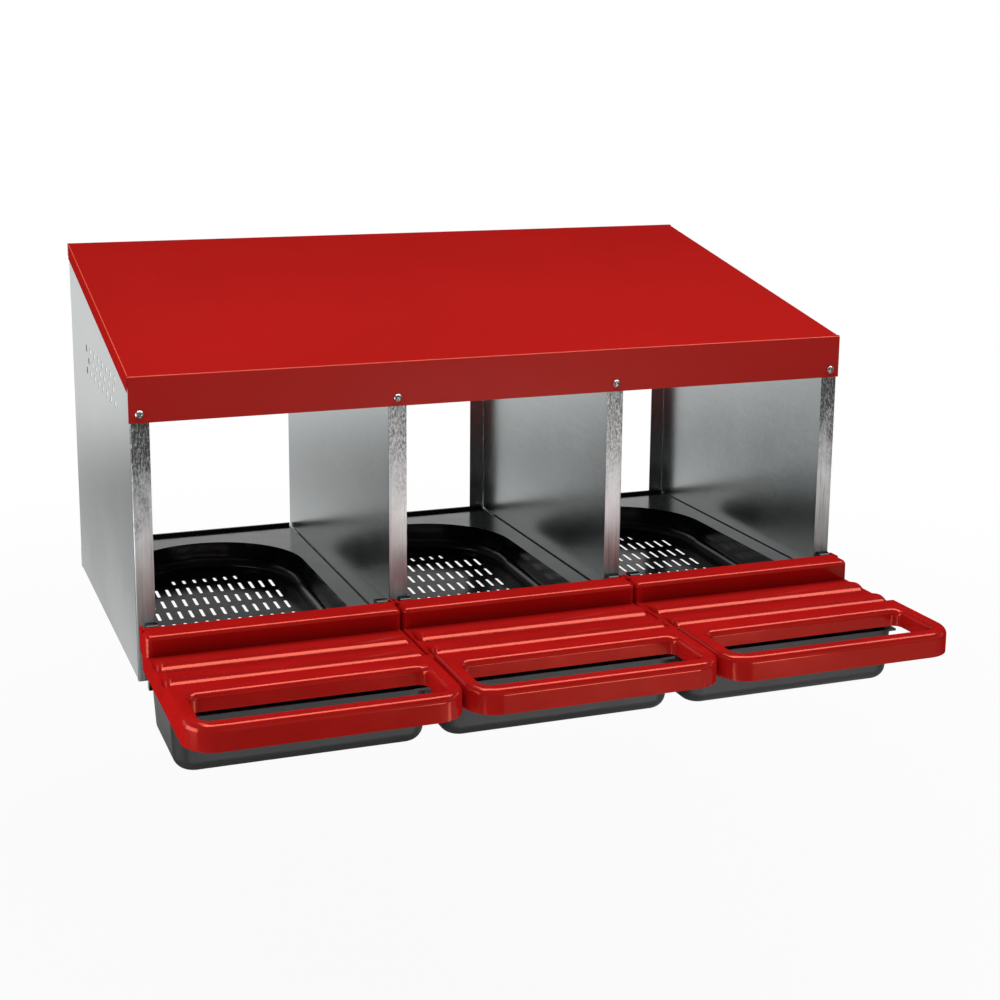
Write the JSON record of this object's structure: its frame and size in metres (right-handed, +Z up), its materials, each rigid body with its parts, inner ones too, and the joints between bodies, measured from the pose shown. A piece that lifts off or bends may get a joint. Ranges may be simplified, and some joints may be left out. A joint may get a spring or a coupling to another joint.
{
  "type": "chicken nesting box",
  "caption": "Wall-hung hen nesting box of galvanised sheet with a sloping red roof, drained plastic nest basins, hinged red perch lids and pull-out egg trays in front.",
  "frame": {"origin": "middle of the four wall holes, in the plane of the back", "axes": "+X along the width to the right as seen from the front, +Y into the wall, +Z up"},
  "size_m": [0.7522, 0.6372, 0.4168],
  "materials": {
    "galvanised_sheet": "hot-dip zinc, bright with a faint vertical grain",
    "red_paint": "smooth satin red coating",
    "zinc_fasteners": "bright zinc plate",
    "black_plastic": "glossy moulded plastic",
    "grey_plastic": "satin moulded plastic",
    "red_plastic": "glossy moulded plastic",
    "pin_steel": "bright drawn steel"
  },
  "bodies": {
    "cabinet": {"left_side_panel": "galvanised_sheet", "right_side_panel": "galvanised_sheet", "left_divider": "galvanised_sheet", "right_divider": "galvanised_sheet", "roof": "red_paint", "roof_screws": "zinc_fasteners", "roof_nuts": "zinc_fasteners", "rear_upper_rail": "galvanised_sheet", "rear_lower_rail": "galvanised_sheet", "rail_rivets": "zinc_fasteners", "insert_runners": "galvanised_sheet", "end_brackets": "galvanised_sheet", "divider_brackets": "galvanised_sheet", "bracket_rivets": "zinc_fasteners"},
    "insert_left": {"nest_insert_left": "black_plastic"},
    "tray_left": {"egg_tray_left": "grey_plastic"},
    "lid_left": {"perch_lid_left": "red_plastic", "hinge_pins_left": "pin_steel"},
    "insert_middle": {"nest_insert_middle": "black_plastic"},
    "tray_middle": {"egg_tray_middle": "grey_plastic"},
    "lid_middle": {"perch_lid_middle": "red_plastic", "hinge_pins_middle": "pin_steel"},
    "insert_right": {"nest_insert_right": "black_plastic"},
    "tray_right": {"egg_tray_right": "grey_plastic"},
    "lid_right": {"perch_lid_right": "red_plastic", "hinge_pins_right": "pin_steel"}
  },
  "joints": [
    {"name": "insert_lift_left", "type": "slide", "parent": "cabinet", "child": "insert_left", "axis": [0, 0, 1], "range_m": [0, 0.06]},
    {"name": "tray_slide_left", "type": "slide", "parent": "insert_left", "child": "tray_left", "axis": [0, -1, 0], "range_m": [0, 0.08]},
    {"name": "lid_hinge_left", "type": "hinge", "parent": "insert_left", "child": "lid_left", "pos_m": [-0.24973, -0.4097, -0.12], "axis": [-1, 0, 0], "range_deg": [0, 90]},
    {"name": "insert_lift_middle", "type": "slide", "parent": "cabinet", "child": "insert_middle", "axis": [0, 0, 1], "range_m": [0, 0.06]},
    {"name": "tray_slide_middle", "type": "slide", "parent": "insert_middle", "child": "tray_middle", "axis": [0, -1, 0], "range_m": [0, 0.08]},
    {"name": "lid_hinge_middle", "type": "hinge", "parent": "insert_middle", "child": "lid_middle", "pos_m": [0, -0.4097, -0.12], "axis": [-1, 0, 0], "range_deg": [0, 90]},
    {"name": "insert_lift_right", "type": "slide", "parent": "cabinet", "child": "insert_right", "axis": [0, 0, 1], "range_m": [0, 0.06]},
    {"name": "tray_slide_right", "type": "slide", "parent": "insert_right", "child": "tray_right", "axis": [0, -1, 0], "range_m": [0, 0.08]},
    {"name": "lid_hinge_right", "type": "hinge", "parent": "insert_right", "child": "lid_right", "pos_m": [0.24973, -0.4097, -0.12], "axis": [-1, 0, 0], "range_deg": [0, 90]}
  ]
}
